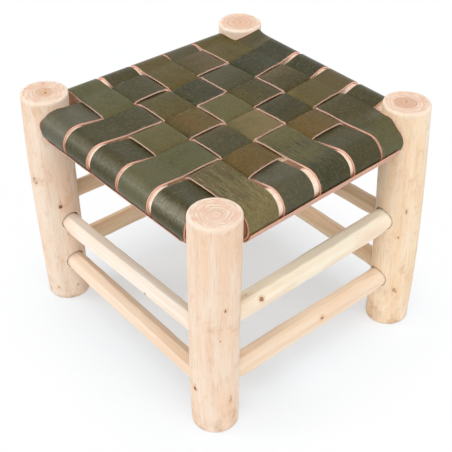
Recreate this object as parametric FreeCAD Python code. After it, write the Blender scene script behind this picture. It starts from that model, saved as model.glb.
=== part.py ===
# A low stool with a woven leather seat. Four peeled-pole legs hold eight whittled rungs and four
# seat rails in blind drilled sockets. Ten leather straps are woven over and under each other, wrap
# round the rails and are tacked beneath them, under a leather strip along each rail.
# Millimetres, +X right, +Y back, +Z up, origin on the floor under the middle of the stool.
import FreeCAD, Part
import math
import os

os.makedirs("parts", exist_ok=True)
Vector = FreeCAD.Vector
UP = Vector(0, 0, 1)

# Legs: poles that taper a little towards the foot, with eased ends
leg_spacing_x = 300.0
leg_spacing_y = 291.5
leg_height = 298.0
leg_top_diameter = 55.6
leg_foot_diameter = 52.8
leg_edge_ease = 2.5
leg_corners = {
    "front_left": (-1, -1),
    "front_right": (1, -1),
    "back_right": (1, 1),
    "back_left": (-1, 1),
}
# Hand-set legs lean: their tops and feet drift from the plan by shares of leg_top_diameter
leg_top_drift_shares = {
    "front_left": (-0.054, -0.040),
    "front_right": (0.068, -0.002),
    "back_right": (-0.187, 0.020),
    "back_left": (0.034, 0.022),
}
leg_foot_drift_shares = {
    "front_left": (-0.108, 0.031),
    "front_right": (-0.036, 0.049),
    "back_right": (0.029, -0.079),
    "back_left": (-0.036, 0.000),
}
leg_height_shares = {
    "front_left": 0.999,
    "front_right": 0.990,
    "back_right": 1.016,
    "back_left": 0.993,
}

# Joints: round tenons in blind sockets that stop short of their neighbours at each corner
joint_fit = 0.2
socket_web = 1.6
tenon_end_gap = 0.6
cut_overrun = 8.0

# Rungs: whittled to eight flats, with a round tenon at each end
rung_diameter = 24.0
rung_flats = 8
rung_tenon_share = 0.84
rung_neck_share = 0.93
rung_neck_length = 26.0
# Each rung: its two legs, its heights in them as shares of leg_height, its girth as a share of rung_diameter
rungs = {
    "rung_front_upper": ("front_left", "front_right"),
    "rung_front_lower": ("front_left", "front_right"),
    "rung_right_upper": ("front_right", "back_right"),
    "rung_right_lower": ("front_right", "back_right"),
    "rung_back_upper": ("back_right", "back_left"),
    "rung_back_lower": ("back_right", "back_left"),
    "rung_left_upper": ("back_left", "front_left"),
    "rung_left_lower": ("back_left", "front_left"),
}
rung_height_shares = {
    "rung_front_upper": (0.417, 0.420),
    "rung_front_lower": (0.213, 0.165),
    "rung_right_upper": (0.499, 0.526),
    "rung_right_lower": (0.205, 0.233),
    "rung_back_upper": (0.489, 0.451),
    "rung_back_lower": (0.232, 0.232),
    "rung_left_upper": (0.498, 0.499),
    "rung_left_lower": (0.247, 0.229),
}
rung_girth_shares = {
    "rung_front_upper": 0.97,
    "rung_front_lower": 1.00,
    "rung_right_upper": 1.18,
    "rung_right_lower": 1.10,
    "rung_back_upper": 0.93,
    "rung_back_lower": 0.98,
    "rung_left_upper": 0.92,
    "rung_left_lower": 1.00,
}

# Seat rails: round poles just under the leg tops, the front and back pair set out from the leg centres
rail_diameter = 34.6
rail_drop = 30.7
rail_tenon_diameter = 22.0
front_rail_setout = 4.5
back_rail_setout = 6.5
side_rail_setin = 1.0

# Straps: thick leather bands, five each way, that fill the front rail and the left rail between the legs
strap_thickness = 2.8
strap_count = 5
leather_gap = 0.3
# They run slightly fanned: the gap between straps and the shift of the middle one differ at each rail
front_strap_gap = 6.0
front_shift = -0.5
back_strap_gap = 4.5
back_shift = -23.3
left_strap_gap = 3.4
left_shift = 3.8
right_strap_gap = 5.2
right_shift = 8.3
# The weave hangs below the rail tops, and each strap swells over and dips under its neighbours
seat_sag = 3.6
weave_gap = 0.8
over_swell = 2.2
under_dip = 1.0
cell_steps = 4
# Each strap goes round its rail and runs back inwards under it as a flat tail
wrap_angle = 180.0
wrap_steps = 16
tail_length = 68.0
# The outermost crosswise straps keep short tails, clear of the lengthwise tails at the corners
corner_tail_length = 10.0

# Binding strips: a band of the same leather along the underside of each rail, between the legs,
# bent up round the outside and flat under the tails
binding_angle = 54.0
binding_flat_width = 18.0
binding_end_gap = 2.0

# Tacks: through the binding and each strap end into the rail
tack_head_diameter = 8.0
tack_head_height = 1.8
tack_shank_diameter = 1.6
tack_length = 15.0
tack_point_length = 2.5
tack_fit = 0.1
tack_spread_share = 0.25

rail_height = leg_height - rail_drop
strap_radius = rail_diameter / 2 + leather_gap + strap_thickness / 2
binding_inner_radius = rail_diameter / 2 + 2 * leather_gap + strap_thickness
binding_outer_radius = binding_inner_radius + strap_thickness
rail_top_level = rail_height + strap_radius
weave_level = rail_top_level - seat_sag


def export(node, shape):
    shape.exportStep("parts/" + node + ".step")
    print(node, "solids", len(shape.Solids), "valid", shape.isValid(), "volume", round(shape.Volume, 1))


def between(start, end, share):
    return start + (end - start) * share


# Legs


def leg_point(leg, height):
    # the leg's centre line at a height, from its foot place to its top place
    side_x, side_y = leg_corners[leg]
    foot_x, foot_y = leg_foot_drift_shares[leg]
    top_x, top_y = leg_top_drift_shares[leg]
    share = height / (leg_height * leg_height_shares[leg])
    x = side_x * leg_spacing_x / 2 + between(foot_x, top_x, share) * leg_top_diameter
    y = side_y * leg_spacing_y / 2 + between(foot_y, top_y, share) * leg_top_diameter
    return Vector(x, y, height)


def leg_radius(leg, height):
    share = height / (leg_height * leg_height_shares[leg])
    return between(leg_foot_diameter, leg_top_diameter, share) / 2


def leg_body(leg, growth=0.0):
    # an eased pole; with growth, a larger one that cuts its neighbours clear of the leg
    top = leg_height * leg_height_shares[leg]
    ease = leg_edge_ease if growth == 0.0 else 0.0
    reach = 0.0 if growth == 0.0 else cut_overrun
    levels = [(-reach, ease), (leg_edge_ease, 0.0), (top - leg_edge_ease, 0.0), (top + reach, ease)]
    sections = []
    for height, inset in levels:
        circle = Part.makeCircle(leg_radius(leg, height) + growth - inset, leg_point(leg, height), UP)
        sections.append(Part.Wire(circle))
    return Part.makeLoft(sections, True, True)


leg_bodies = {leg: leg_body(leg) for leg in leg_corners}
leg_clearances = {leg: leg_body(leg, joint_fit) for leg in leg_corners}


def tenon_start(tenon_radius):
    # distance from the leg's centre line at which a tenon ends, so that crossing sockets never meet
    return tenon_radius + joint_fit + socket_web


def drill(leg, centre, direction, tenon_radius):
    # a blind socket from just behind the tenon's end out through the leg's side
    inner = tenon_start(tenon_radius) - tenon_end_gap
    depth = leg_top_diameter / 2 + cut_overrun - inner
    socket = Part.makeCylinder(tenon_radius + joint_fit, depth, centre + direction * inner, direction)
    leg_bodies[leg] = leg_bodies[leg].cut(socket)


def tenoned(body, start, end, tenon_radius, start_leg, end_leg):
    # trims a pole to the two legs, adds its tenons and drills their sockets
    direction = (end - start).normalize()
    body = body.cut(leg_clearances[start_leg]).cut(leg_clearances[end_leg])
    inner = tenon_start(tenon_radius)
    reach = leg_top_diameter / 2 + rung_neck_length / 2 - inner
    body = body.fuse(Part.makeCylinder(tenon_radius, reach, start + direction * inner, direction))
    body = body.fuse(Part.makeCylinder(tenon_radius, reach, end - direction * inner, -direction))
    drill(start_leg, start, direction, tenon_radius)
    drill(end_leg, end, -direction, tenon_radius)
    return body.removeSplitter()


# Rungs


def flat_sided(centre, direction, radius):
    # an even polygon across a rung, one flat turned up
    side = direction.cross(UP).normalize()
    rise = side.cross(direction)
    corners = []
    for index in range(rung_flats + 1):
        angle = 2 * math.pi * (index + 0.5) / rung_flats
        corners.append(centre + side * (radius * math.cos(angle)) + rise * (radius * math.sin(angle)))
    return Part.makePolygon(corners)


rung_shapes = {}
for rung, (start_leg, end_leg) in rungs.items():
    start_share, end_share = rung_height_shares[rung]
    start = leg_point(start_leg, start_share * leg_height)
    end = leg_point(end_leg, end_share * leg_height)
    radius = rung_diameter * rung_girth_shares[rung] / 2
    direction = (end - start).normalize()
    length = (end - start).Length
    root = tenon_start(radius * rung_tenon_share)
    neck = leg_top_diameter / 2 + rung_neck_length
    places = [(root, rung_neck_share), (neck, 1.0), (length - neck, 1.0), (length - root, rung_neck_share)]
    sections = [flat_sided(start + direction * place, direction, radius * share) for place, share in places]
    body = Part.makeLoft(sections, True, True)
    rung_shapes[rung] = tenoned(body, start, end, radius * rung_tenon_share, start_leg, end_leg)

# Seat rails

rail_legs = {
    "front": ("front_left", "front_right"),
    "right": ("front_right", "back_right"),
    "back": ("back_left", "back_right"),
    "left": ("front_left", "back_left"),
}
rail_offsets = {
    "front": Vector(0, -front_rail_setout, 0),
    "right": Vector(-side_rail_setin, 0, 0),
    "back": Vector(0, back_rail_setout, 0),
    "left": Vector(side_rail_setin, 0, 0),
}
rail_outward = {
    "front": Vector(0, -1, 0),
    "right": Vector(1, 0, 0),
    "back": Vector(0, 1, 0),
    "left": Vector(-1, 0, 0),
}
rail_ends = {}
rail_shapes = {}
for side, (start_leg, end_leg) in rail_legs.items():
    start = leg_point(start_leg, rail_height) + rail_offsets[side]
    end = leg_point(end_leg, rail_height) + rail_offsets[side]
    rail_ends[side] = (start, end)
    body = Part.makeCylinder(rail_diameter / 2, (end - start).Length, start, end - start)
    rail_shapes[side] = tenoned(body, start, end, rail_tenon_diameter / 2, start_leg, end_leg)


def rail_point(side, along):
    # the rail's centre line at a place along it: x on the front and back rails, y on the side ones
    start, end = rail_ends[side]
    if side in ("front", "back"):
        share = (along - start.x) / (end.x - start.x)
    else:
        share = (along - start.y) / (end.y - start.y)
    return start + (end - start) * share


# Straps


def clear_span(start_leg, end_leg):
    # the space along a rail between the facing sides of its two legs
    start = leg_point(start_leg, rail_height)
    end = leg_point(end_leg, rail_height)
    return (end - start).Length - leg_radius(start_leg, rail_height) - leg_radius(end_leg, rail_height)


def strap_edges(start_side, end_side, start_centre, end_centre, width):
    # the strap's two edges in plan, each from its place on one rail to its place on the other
    edges = []
    for half in (-width / 2, width / 2):
        edges.append((rail_point(start_side, start_centre + half), rail_point(end_side, end_centre + half)))
    return edges


def strap_set(start_side, end_side, width, start_gap, start_shift, end_gap, end_shift):
    straps = []
    for index in range(strap_count):
        step = index - (strap_count - 1) / 2
        start_centre = start_shift + step * (width + start_gap)
        end_centre = end_shift + step * (width + end_gap)
        straps.append(strap_edges(start_side, end_side, start_centre, end_centre, width))
    return straps


def filling_width(span, gap):
    return (span - (strap_count - 1) * gap) / strap_count


lengthwise_width = filling_width(clear_span("front_left", "front_right"), front_strap_gap)
crosswise_width = filling_width(clear_span("front_left", "back_left"), left_strap_gap)
lengthwise = strap_set(
    "front", "back", lengthwise_width, front_strap_gap, front_shift, back_strap_gap, back_shift
)
crosswise = strap_set(
    "left", "right", crosswise_width, left_strap_gap, left_shift, right_strap_gap, right_shift
)

# The strap beside the left rail is trimmed along it, so that it lies inside the rail
outer_edge, inner_edge = lengthwise[0]
trimmed = []
for point in outer_edge:
    limit = rail_point("left", point.y).x + rail_diameter / 2 + leather_gap
    trimmed.append(Vector(max(point.x, limit), point.y, point.z))
lengthwise[0] = [tuple(trimmed), inner_edge]


def crossing(edge, other):
    # where two plan lines meet
    (a, b), (c, d) = edge, other
    along = b - a
    across = d - c
    turn = along.x * across.y - along.y * across.x
    share = ((c.x - a.x) * across.y - (c.y - a.y) * across.x) / turn
    return a + along * share


def place_along(side, point):
    return point.x if side in ("front", "back") else point.y


def wrap_point(edge, side, angle):
    # the strap's edge round its rail, at an angle from the top of the rail towards the outside
    here, far = edge
    outward = rail_outward[side]
    run = Vector(here.x - far.x, here.y - far.y, 0)
    lean = (run - outward * run.dot(outward)) * (1 / run.dot(outward))
    centre = rail_point(side, place_along(side, here + lean * (strap_radius * angle)))
    return centre + outward * (strap_radius * math.sin(angle)) + UP * (strap_radius * math.cos(angle))


def tail_point(edge, side, tail):
    # the end of the strap's edge, straight inwards from the bottom of the rail
    here, far = edge
    outward = rail_outward[side]
    bottom = wrap_point(edge, side, math.radians(wrap_angle))
    run = Vector(here.x - far.x, here.y - far.y, 0)
    lean = (run - outward * run.dot(outward)) * (1 / run.dot(outward))
    return bottom + (lean - outward) * tail


def wrap_points(edge, side, target, tail):
    # from where the strap leaves the rail straight for its first crossing to its end underneath
    inward = (rail_point(side, place_along(side, target)) - target).dot(rail_outward[side])
    rise = target.z - rail_height
    leave = math.acos(strap_radius / math.hypot(inward, rise)) - math.atan2(inward, rise)
    finish = math.radians(wrap_angle)
    angles = [between(leave, finish, step / wrap_steps) for step in range(wrap_steps + 1)]
    return [wrap_point(edge, side, angle) for angle in angles] + [tail_point(edge, side, tail)]


def woven_points(edge, others, over_first):
    # the strap's edge across the seat: a swell over or a dip under each strap that it meets
    points = []
    over = over_first
    for near, far in others:
        first = crossing(edge, near)
        last = crossing(edge, far)
        lift = strap_thickness / 2 + weave_gap / 2
        for step in range(cell_steps + 1):
            share = step / cell_steps
            place = first + (last - first) * share
            arch = math.sin(math.pi * share)
            rise = lift + over_swell * arch if over else -lift - under_dip * arch
            points.append(Vector(place.x, place.y, weave_level + rise))
        over = not over
    return points


def band(left_points, right_points):
    # a leather band through matching points of its two edges, of even thickness
    middles = [(left + right) * 0.5 for left, right in zip(left_points, right_points)]
    normals = []
    for index in range(len(middles) - 1):
        run = middles[index + 1] - middles[index]
        width = right_points[index] - left_points[index]
        normals.append(width.cross(run).normalize())
    sections = []
    for index, (left, right) in enumerate(zip(left_points, right_points)):
        before = normals[max(index - 1, 0)]
        after = normals[min(index, len(normals) - 1)]
        mitre = (before + after).normalize()
        offset = mitre * (strap_thickness / 2 / mitre.dot(after))
        corners = [left - offset, right - offset, right + offset, left + offset, left - offset]
        sections.append(Part.makePolygon(corners))
    return Part.makeLoft(sections, True, True)


def strap(edges, start_side, end_side, others, over_first, tail):
    lines = []
    for edge in edges:
        start, end = edge
        woven = woven_points(edge, others, over_first)
        first = wrap_points(edge, start_side, woven[0], tail)
        last = wrap_points((end, start), end_side, woven[-1], tail)
        lines.append(first[::-1] + woven + last)
    return band(lines[0], lines[1])


strap_shapes = {}
for index, edges in enumerate(lengthwise):
    node = "strap_lengthwise_" + str(index + 1)
    strap_shapes[node] = strap(edges, "front", "back", crosswise, index % 2 == 1, tail_length)
for index, edges in enumerate(crosswise):
    node = "strap_crosswise_" + str(index + 1)
    front_edge, back_edge = edges
    tail = corner_tail_length if index in (0, strap_count - 1) else tail_length
    strap_shapes[node] = strap([back_edge, front_edge], "left", "right", lengthwise, index % 2 == 0, tail)
for node in strap_shapes:
    for leg in leg_corners:
        strap_shapes[node] = strap_shapes[node].cut(leg_clearances[leg])

# Binding strips


def around(side, centre, radius, angle):
    # a point beside a rail, at an angle from straight down towards the outside
    turn = math.radians(angle)
    return centre + rail_outward[side] * (radius * math.sin(turn)) - UP * (radius * math.cos(turn))


binding_shapes = {}
for side in rail_legs:
    start, end = rail_ends[side]
    direction = (end - start).normalize()
    inset = leg_top_diameter / 2 + binding_end_gap
    centre = start + direction * inset
    arcs = []
    flats = []
    for radius in (binding_inner_radius, binding_outer_radius):
        arcs.append([around(side, centre, radius, angle) for angle in (0, binding_angle / 2, binding_angle)])
        flats.append(arcs[-1][0] - rail_outward[side] * binding_flat_width)
    inner, outer = arcs
    outline = Part.Wire([
        Part.makeLine(flats[0], inner[0]),
        Part.Arc(inner[0], inner[1], inner[2]).toShape(),
        Part.makeLine(inner[2], outer[2]),
        Part.Arc(outer[2], outer[1], outer[0]).toShape(),
        Part.makeLine(outer[0], flats[1]),
        Part.makeLine(flats[1], flats[0]),
    ])
    length = (end - start).Length - 2 * inset
    binding_shapes[side] = Part.Face(outline).extrude(direction * length)

# Tacks


def tack(seat):
    # a domed head under the binding, a round shank up into the rail and a point
    head_radius = tack_head_diameter / 2
    dome_radius = (head_radius ** 2 + tack_head_height ** 2) / (2 * tack_head_height)
    below = UP * -tack_head_height
    ball = Part.makeSphere(dome_radius, UP * dome_radius + below)
    head = ball.common(Part.makeCylinder(tack_head_diameter, tack_head_height, below, UP))
    shank_radius = tack_shank_diameter / 2
    shank_length = tack_length - tack_point_length
    shank = Part.makeCylinder(shank_radius, shank_length + tack_head_height / 2, below * 0.5, UP)
    point = Part.makeCone(shank_radius, 0, tack_point_length, UP * shank_length, UP)
    shape = head.fuse(shank).fuse(point).removeSplitter()
    shape.translate(seat)
    return shape


def tack_places(side, edges):
    # two places under a strap's end, or one where a leg leaves room for no more
    start, end = rail_ends[side]
    direction = (end - start).normalize()
    margin = leg_top_diameter / 2 + binding_end_gap + tack_head_diameter / 2
    limit = (end - start).Length - margin
    reach = sorted((wrap_point(edge, side, math.pi) - start).dot(direction) for edge in edges)
    first, last = [min(max(distance, margin), limit) for distance in reach]
    shares = (tack_spread_share, 1 - tack_spread_share)
    if (last - first) * (1 - 2 * tack_spread_share) < tack_head_diameter:
        shares = (0.5,)
    return [start + direction * between(first, last, share) for share in shares]


tack_groups = {}
for side in rail_legs:
    run = "lengthwise" if side in ("front", "back") else "crosswise"
    edge_sets = lengthwise if run == "lengthwise" else crosswise
    tacks = []
    for index, edges in enumerate(edge_sets):
        if side in ("back", "right"):
            edges = [(end, start) for start, end in edges]
        node = "strap_" + run + "_" + str(index + 1)
        for place in tack_places(side, edges):
            seat = place - UP * (binding_outer_radius + tack_fit)
            tacks.append(tack(seat))
            hole = Part.makeCylinder(tack_shank_diameter / 2 + tack_fit, tack_length + tack_fit, seat, UP)
            binding_shapes[side] = binding_shapes[side].cut(hole)
            rail_shapes[side] = rail_shapes[side].cut(hole)
            strap_shapes[node] = strap_shapes[node].cut(hole)
    tack_groups[side] = Part.makeCompound(tacks)

# Files, one for each piece
for leg in leg_corners:
    export("leg_" + leg, leg_bodies[leg])
for rung in rungs:
    export(rung, rung_shapes[rung])
for side in rail_legs:
    export("seat_rail_" + side, rail_shapes[side])
for node in strap_shapes:
    export(node, strap_shapes[node])
for side in rail_legs:
    export("binding_strip_" + side, binding_shapes[side])
for side in rail_legs:
    export("tacks_" + side, tack_groups[side])
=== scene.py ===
import bpy
import math
import random
import numpy as np
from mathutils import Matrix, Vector


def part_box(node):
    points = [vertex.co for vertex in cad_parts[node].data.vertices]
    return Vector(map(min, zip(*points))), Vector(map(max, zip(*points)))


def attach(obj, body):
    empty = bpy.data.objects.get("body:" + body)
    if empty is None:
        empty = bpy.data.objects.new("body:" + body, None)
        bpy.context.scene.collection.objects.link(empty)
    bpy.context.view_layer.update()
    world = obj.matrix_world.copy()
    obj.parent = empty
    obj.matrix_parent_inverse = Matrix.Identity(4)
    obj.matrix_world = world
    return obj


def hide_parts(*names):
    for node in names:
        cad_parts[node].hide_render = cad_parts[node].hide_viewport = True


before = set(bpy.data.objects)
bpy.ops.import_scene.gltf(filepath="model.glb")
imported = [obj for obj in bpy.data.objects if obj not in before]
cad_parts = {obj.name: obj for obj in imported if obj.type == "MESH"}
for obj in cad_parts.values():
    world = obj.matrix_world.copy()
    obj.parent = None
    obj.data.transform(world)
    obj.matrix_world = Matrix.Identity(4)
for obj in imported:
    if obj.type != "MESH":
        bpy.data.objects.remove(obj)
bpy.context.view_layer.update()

# Legs: four peeled poles of pale softwood, sawn square at both ends with the rim eased by hand.
# Each leans a little its own way and has round holes drilled for the rungs and seat rails.
# The sawn tops show growth rings, and the sides show knots, fibres and smudges of bark.
mm = 0.001
full_turn = 2 * math.pi
east, north, up = np.eye(3)
leg_names = ("front_left", "front_right", "back_right", "back_left")
rail_sides = ("front", "right", "back", "left")
leg_sides_around = 96
leg_row_step = 2.5 * mm
leg_rim_ease = 2.4 * mm
ease_turns = (0, 22, 45, 67, 90)
leg_rim_wander = 0.35
rim_phase = 0.7
rim_ripples = 3
rim_ripple_share = 0.6
leg_cap_shares = (0.9, 0.74, 0.56, 0.38, 0.18)
leg_unevenness = 0.35 * mm
leg_waves = 7
leg_shape_seed = 100
wave_turns = 4
wave_pitches = (4.0, 34.0)
wave_fade = 0.5
solid_rim_ease = 2.5 * mm
level_band = 0.2 * mm
end_band = 1.5 * mm
hole_slack = 0.9 * mm
hole_drop = 0.5 * mm
hole_end_gap = 1.0 * mm
hole_sides = 56
crisp_angle = math.radians(38)


def unit(vector):
    return vector / np.linalg.norm(vector)


def mesh_points(mesh):
    points = np.zeros(len(mesh.vertices) * 3)
    mesh.vertices.foreach_get("co", points)
    return points.reshape(-1, 3)


def node_points(node):
    return mesh_points(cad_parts[node].data)


def ring_at(points, level):
    # the middle and radius of the round section of an upright pole at a height
    near = points[np.abs(points[:, 2] - level) < level_band]
    low, high = near.min(0), near.max(0)
    return (low + high) / 2, (high - low)[:2].max() / 2


def pole_ends(node):
    # the middles of the two end faces of a pole that lies along x or y, and its radius
    points = node_points(node)
    axis = int(np.argmax(np.ptp(points, axis=0)))
    ends = []
    for limit in (points[:, axis].min(), points[:, axis].max()):
        near = points[np.abs(points[:, axis] - limit) < end_band]
        ends.append((near.min(0) + near.max(0)) / 2)
    start, end = ends
    along = unit(end - start)
    offset = points - start
    radii = np.linalg.norm(offset - np.outer(offset @ along, along), axis=1)
    return start, end, radii.max()


def uneven(seed, terms, amount):
    # a smooth random surface over angle and height that closes round a pole
    draw = random.Random(seed)
    waves = []
    for index in range(terms):
        turns = draw.randint(0, wave_turns)
        pitch = draw.uniform(*wave_pitches)
        weight = amount / (1 + wave_fade * index)
        phase, drift = draw.uniform(0, full_turn), draw.uniform(0, full_turn)
        waves.append((turns, pitch, phase, drift, weight))

    def height(angles, place):
        total = np.zeros_like(angles)
        for turns, pitch, phase, drift, weight in waves:
            total = total + weight * np.cos(turns * angles + phase) * math.sin(pitch * place + drift)
        return total

    return height


def linked(name, data):
    made = bpy.data.objects.new(name, data)
    bpy.context.scene.collection.objects.link(made)
    return made


def made_object(name, vertices, faces, face_materials, materials):
    mesh = bpy.data.meshes.new(name)
    mesh.from_pydata([tuple(vertex) for vertex in vertices], [], faces)
    for material in materials:
        mesh.materials.append(material)
    mesh.polygons.foreach_set("material_index", face_materials)
    mesh.polygons.foreach_set("use_smooth", [True] * len(faces))
    mesh.validate()
    return linked(name, mesh)


def pole(name, stock, rows, radius_at, sides, cap_shares, materials, rim=1.0, bow=np.zeros(3)):
    # a round piece of wood: rings of points along its stock, bowed aside between its two end faces;
    # the stock is given by its two ends and two ways across it
    start, end, across, rise = stock
    angles = np.arange(sides) * full_turn / sides
    length = np.linalg.norm(end - start)
    rings = []
    for place, inset in rows:
        radii = radius_at(angles, place) - inset * rim
        middle = start + (end - start) * (place / length) + bow * math.sin(math.pi * place / length)
        aside = np.outer(radii * np.cos(angles), across)
        rings.append(middle + aside + np.outer(radii * np.sin(angles), rise))
    first_caps = [start + (rings[0] - start) * share for share in reversed(cap_shares)]
    last_caps = [end + (rings[-1] - end) * share for share in cap_shares]
    layers = first_caps + rings + last_caps
    vertices = np.concatenate(layers + [start[None], end[None]])
    faces, face_materials = [], []
    for layer in range(len(layers) - 1):
        on_cap = layer < len(first_caps) or layer >= len(first_caps) + len(rings) - 1
        for side in range(sides):
            after = (side + 1) % sides
            low, high = layer * sides, (layer + 1) * sides
            faces.append((low + side, low + after, high + after, high + side))
            face_materials.append(1 if on_cap else 0)
    top = (len(layers) - 1) * sides
    for side in range(sides):
        after = (side + 1) % sides
        faces.append((after, side, len(vertices) - 2))
        faces.append((top + side, top + after, len(vertices) - 1))
        face_materials += [1, 1]
    return made_object(name, vertices, faces, face_materials, materials)


def eased_rows(length, step, ease):
    # places along a pole with the radius drawn in at each end along a quarter round
    turns = [math.radians(angle) for angle in ease_turns]
    eased = [(ease * (1 - math.cos(turn)), ease * (1 - math.sin(turn))) for turn in turns]
    straight = [(float(place), 0.0) for place in np.arange(ease + step, length - ease - step / 2, step)]
    return eased + straight + [(length - place, inset) for place, inset in reversed(eased)]


def keep_places(made, name, places):
    # stores a place for each point of a piece, which its materials read
    layer = made.data.attributes.new(name, "FLOAT_VECTOR", "POINT")
    layer.data.foreach_set("vector", places.astype(np.float32).ravel())


def mark_grain(made, stock):
    # keeps each point's place in the pole it was cut from: two ways across and one along
    start, end, across, rise = stock
    points = mesh_points(made.data)
    straight = np.cross(across, rise)
    places = (points - start) @ straight / ((end - start) @ straight)
    offset = points - (start + np.outer(places, end - start))
    grain = np.stack([offset @ across, offset @ rise, places * np.linalg.norm(end - start)], axis=1)
    keep_places(made, "grain_place", grain)


def drilled(made, holes):
    # cuts round blind holes, each given by its inner end, outer end and radius
    vertices, faces = [], []
    for inner, outer, radius in holes:
        along = unit(outer - inner)
        across = unit(np.cross(along, up))
        rise = np.cross(along, across)
        near = len(vertices)
        far = near + hole_sides
        for middle in (inner, outer):
            for side in range(hole_sides):
                angle = full_turn * side / hole_sides
                vertices.append(middle + radius * (math.cos(angle) * across + math.sin(angle) * rise))
        for side in range(hole_sides):
            after = (side + 1) % hole_sides
            faces.append((near + side, near + after, far + after, far + side))
        faces.append(tuple(near + side for side in reversed(range(hole_sides))))
        faces.append(tuple(far + side for side in range(hole_sides)))
    drill = made_object("drill", vertices, faces, [2] * len(faces), list(made.data.materials))
    cut = made.modifiers.new("drill", "BOOLEAN")
    cut.operation = "DIFFERENCE"
    cut.solver = "EXACT"
    cut.use_self = True
    cut.object = drill
    shown = made.evaluated_get(bpy.context.evaluated_depsgraph_get())
    finished = bpy.data.meshes.new_from_object(shown)
    made.modifiers.clear()
    made.data = finished
    bpy.data.objects.remove(drill)
    finished.polygons.foreach_set("use_smooth", [True] * len(finished.polygons))
    finished.set_sharp_from_angle(angle=crisp_angle)


def colour(red, green, blue):
    # a colour as it is seen, turned into the linear values that shaders take
    linear = []
    for level in (red, green, blue):
        share = level / 255
        linear.append(share / 12.92 if share <= 0.04045 else ((share + 0.055) / 1.055) ** 2.4)
    return (*linear, 1.0)


def add(tree, kind, inputs=(), **settings):
    made = tree.nodes.new("ShaderNode" + kind)
    for name, value in settings.items():
        setattr(made, name, value)
    for socket, value in dict(inputs).items():
        if isinstance(value, bpy.types.NodeSocket):
            tree.links.new(value, made.inputs[socket])
        else:
            made.inputs[socket].default_value = value
    return made


def noise(tree, place, seed, across, along, step=0.0, detail=4.0, rough=0.55, twist=0.0):
    # cloudy noise, with the count of its features to a metre across the piece and along it
    spread = add(tree, "Mapping", {"Vector": place, "Scale": (across, across, along)})
    inputs = {"Vector": spread.outputs[0], "W": seed + step, "Scale": 1.0, "Detail": detail}
    inputs.update({"Roughness": rough, "Distortion": twist})
    return add(tree, "TexNoise", inputs, noise_dimensions="4D").outputs[0]


def noises(tree, place, seed, **rows):
    # noises by name: features to a metre across and along, step from the seed, detail, roughness, twist
    return {name: noise(tree, place, seed, *row) for name, row in rows.items()}


def between(tree, value, low, high, bottom=0.0, top=1.0):
    # a soft step from bottom to top while the value goes from low to high
    inputs = {"Value": value, "From Min": low, "From Max": high, "To Min": bottom, "To Max": top}
    return add(tree, "MapRange", inputs, interpolation_type="SMOOTHSTEP").outputs[0]


def sums(tree, operation, first, second=0.0):
    return add(tree, "Math", {0: first, 1: second}, operation=operation).outputs[0]


def vectors(tree, operation, first, second=(0, 0, 0), output=0):
    return add(tree, "VectorMath", {0: first, 1: second}, operation=operation).outputs[output]


def apart(tree, first, second):
    # how far two values are from each other
    return sums(tree, "ABSOLUTE", sums(tree, "SUBTRACT", first, second))


def swayed(tree, value, cloud, span, amount):
    # a value pushed up and down by an amount, as a noise goes a span to either side of its middle
    return sums(tree, "ADD", value, between(tree, cloud, 0.5 - span, 0.5 + span, -amount, amount))


def shared(tree, values, first, second):
    # two soft steps multiplied, each given by the value it follows and its limits
    (one, *one_limits), (other, *other_limits) = first, second
    one_step = between(tree, values[one], *one_limits)
    return sums(tree, "MULTIPLY", one_step, between(tree, values[other], *other_limits))


def blank_nodes(owner):
    owner.use_nodes = True
    owner.node_tree.nodes.clear()
    return owner.node_tree


def new_material(name, place_name):
    # an empty material, and the piece's own place in its grain or along its band
    material = bpy.data.materials.new(name)
    tree = blank_nodes(material)
    return material, tree, add(tree, "Attribute", attribute_name=place_name).outputs["Vector"]


def finish(tree, values, base, layers, gloss, reliefs, specular, sheen=0.0, metallic=0.0):
    # lays tones over a base, each by the value it follows, where that starts and is full, and how much;
    # adds a roughness that follows one value, and reliefs by value, strength and depth in millimetres
    shade = base
    for tone, value, *limits in layers:
        factor = values[value]
        if limits:
            low, high, amount = limits
            factor = between(tree, factor, low, high, 0.0, amount)
        shade = add(tree, "Mix", {0: factor, 6: shade, 7: tone}, data_type="RGBA").outputs[2]
    rough_value, *rough_limits = gloss
    inputs = {"Base Color": shade, "Roughness": between(tree, values[rough_value], *rough_limits)}
    inputs.update({"Specular IOR Level": specular, "Sheen Weight": sheen, "Metallic": metallic})
    for value, strength, depth in reliefs:
        relief = {"Height": values[value], "Strength": strength, "Distance": depth * mm}
        if "Normal" in inputs:
            relief["Normal"] = inputs["Normal"]
        inputs["Normal"] = add(tree, "Bump", relief).outputs[0]
    surface = add(tree, "BsdfPrincipled", inputs)
    add(tree, "OutputMaterial", {0: surface.outputs[0]})


# knots by kind: their outer line, the stain round them, their heart and how strong the stain is
knot_kinds = {
    "ring": (colour(176, 134, 106), colour(228, 190, 156), colour(234, 200, 170), 0.45),
    "dark": (colour(136, 94, 70), colour(224, 178, 138), colour(68, 44, 36), 0.5),
    "soft": (colour(210, 164, 126), colour(232, 194, 156), colour(194, 146, 108), 0.45),
    "round": (colour(146, 104, 80), colour(232, 182, 132), colour(164, 128, 108), 0.65),
}
# the knots' zones, as shares of their size: where each starts and is full, and how much it covers
stain_zone = (2.6, 0.9)
line_zone = (1.1, 0.85, 0.95)
heart_zone = (0.75, 0.5, 0.95)
knot_noise = (600, 300, 0.0, 2.0)
knot_sway = (0.3, 0.3)
knot_seed_step = 10.0


def mark_on(radius, turn, place, size, stretch, kind):
    # a knot on the side of a pole, by its turn round the pole and its place along it
    angle = math.radians(turn)
    return (radius * math.cos(angle), radius * math.sin(angle), place), size * mm, stretch, kind


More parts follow.
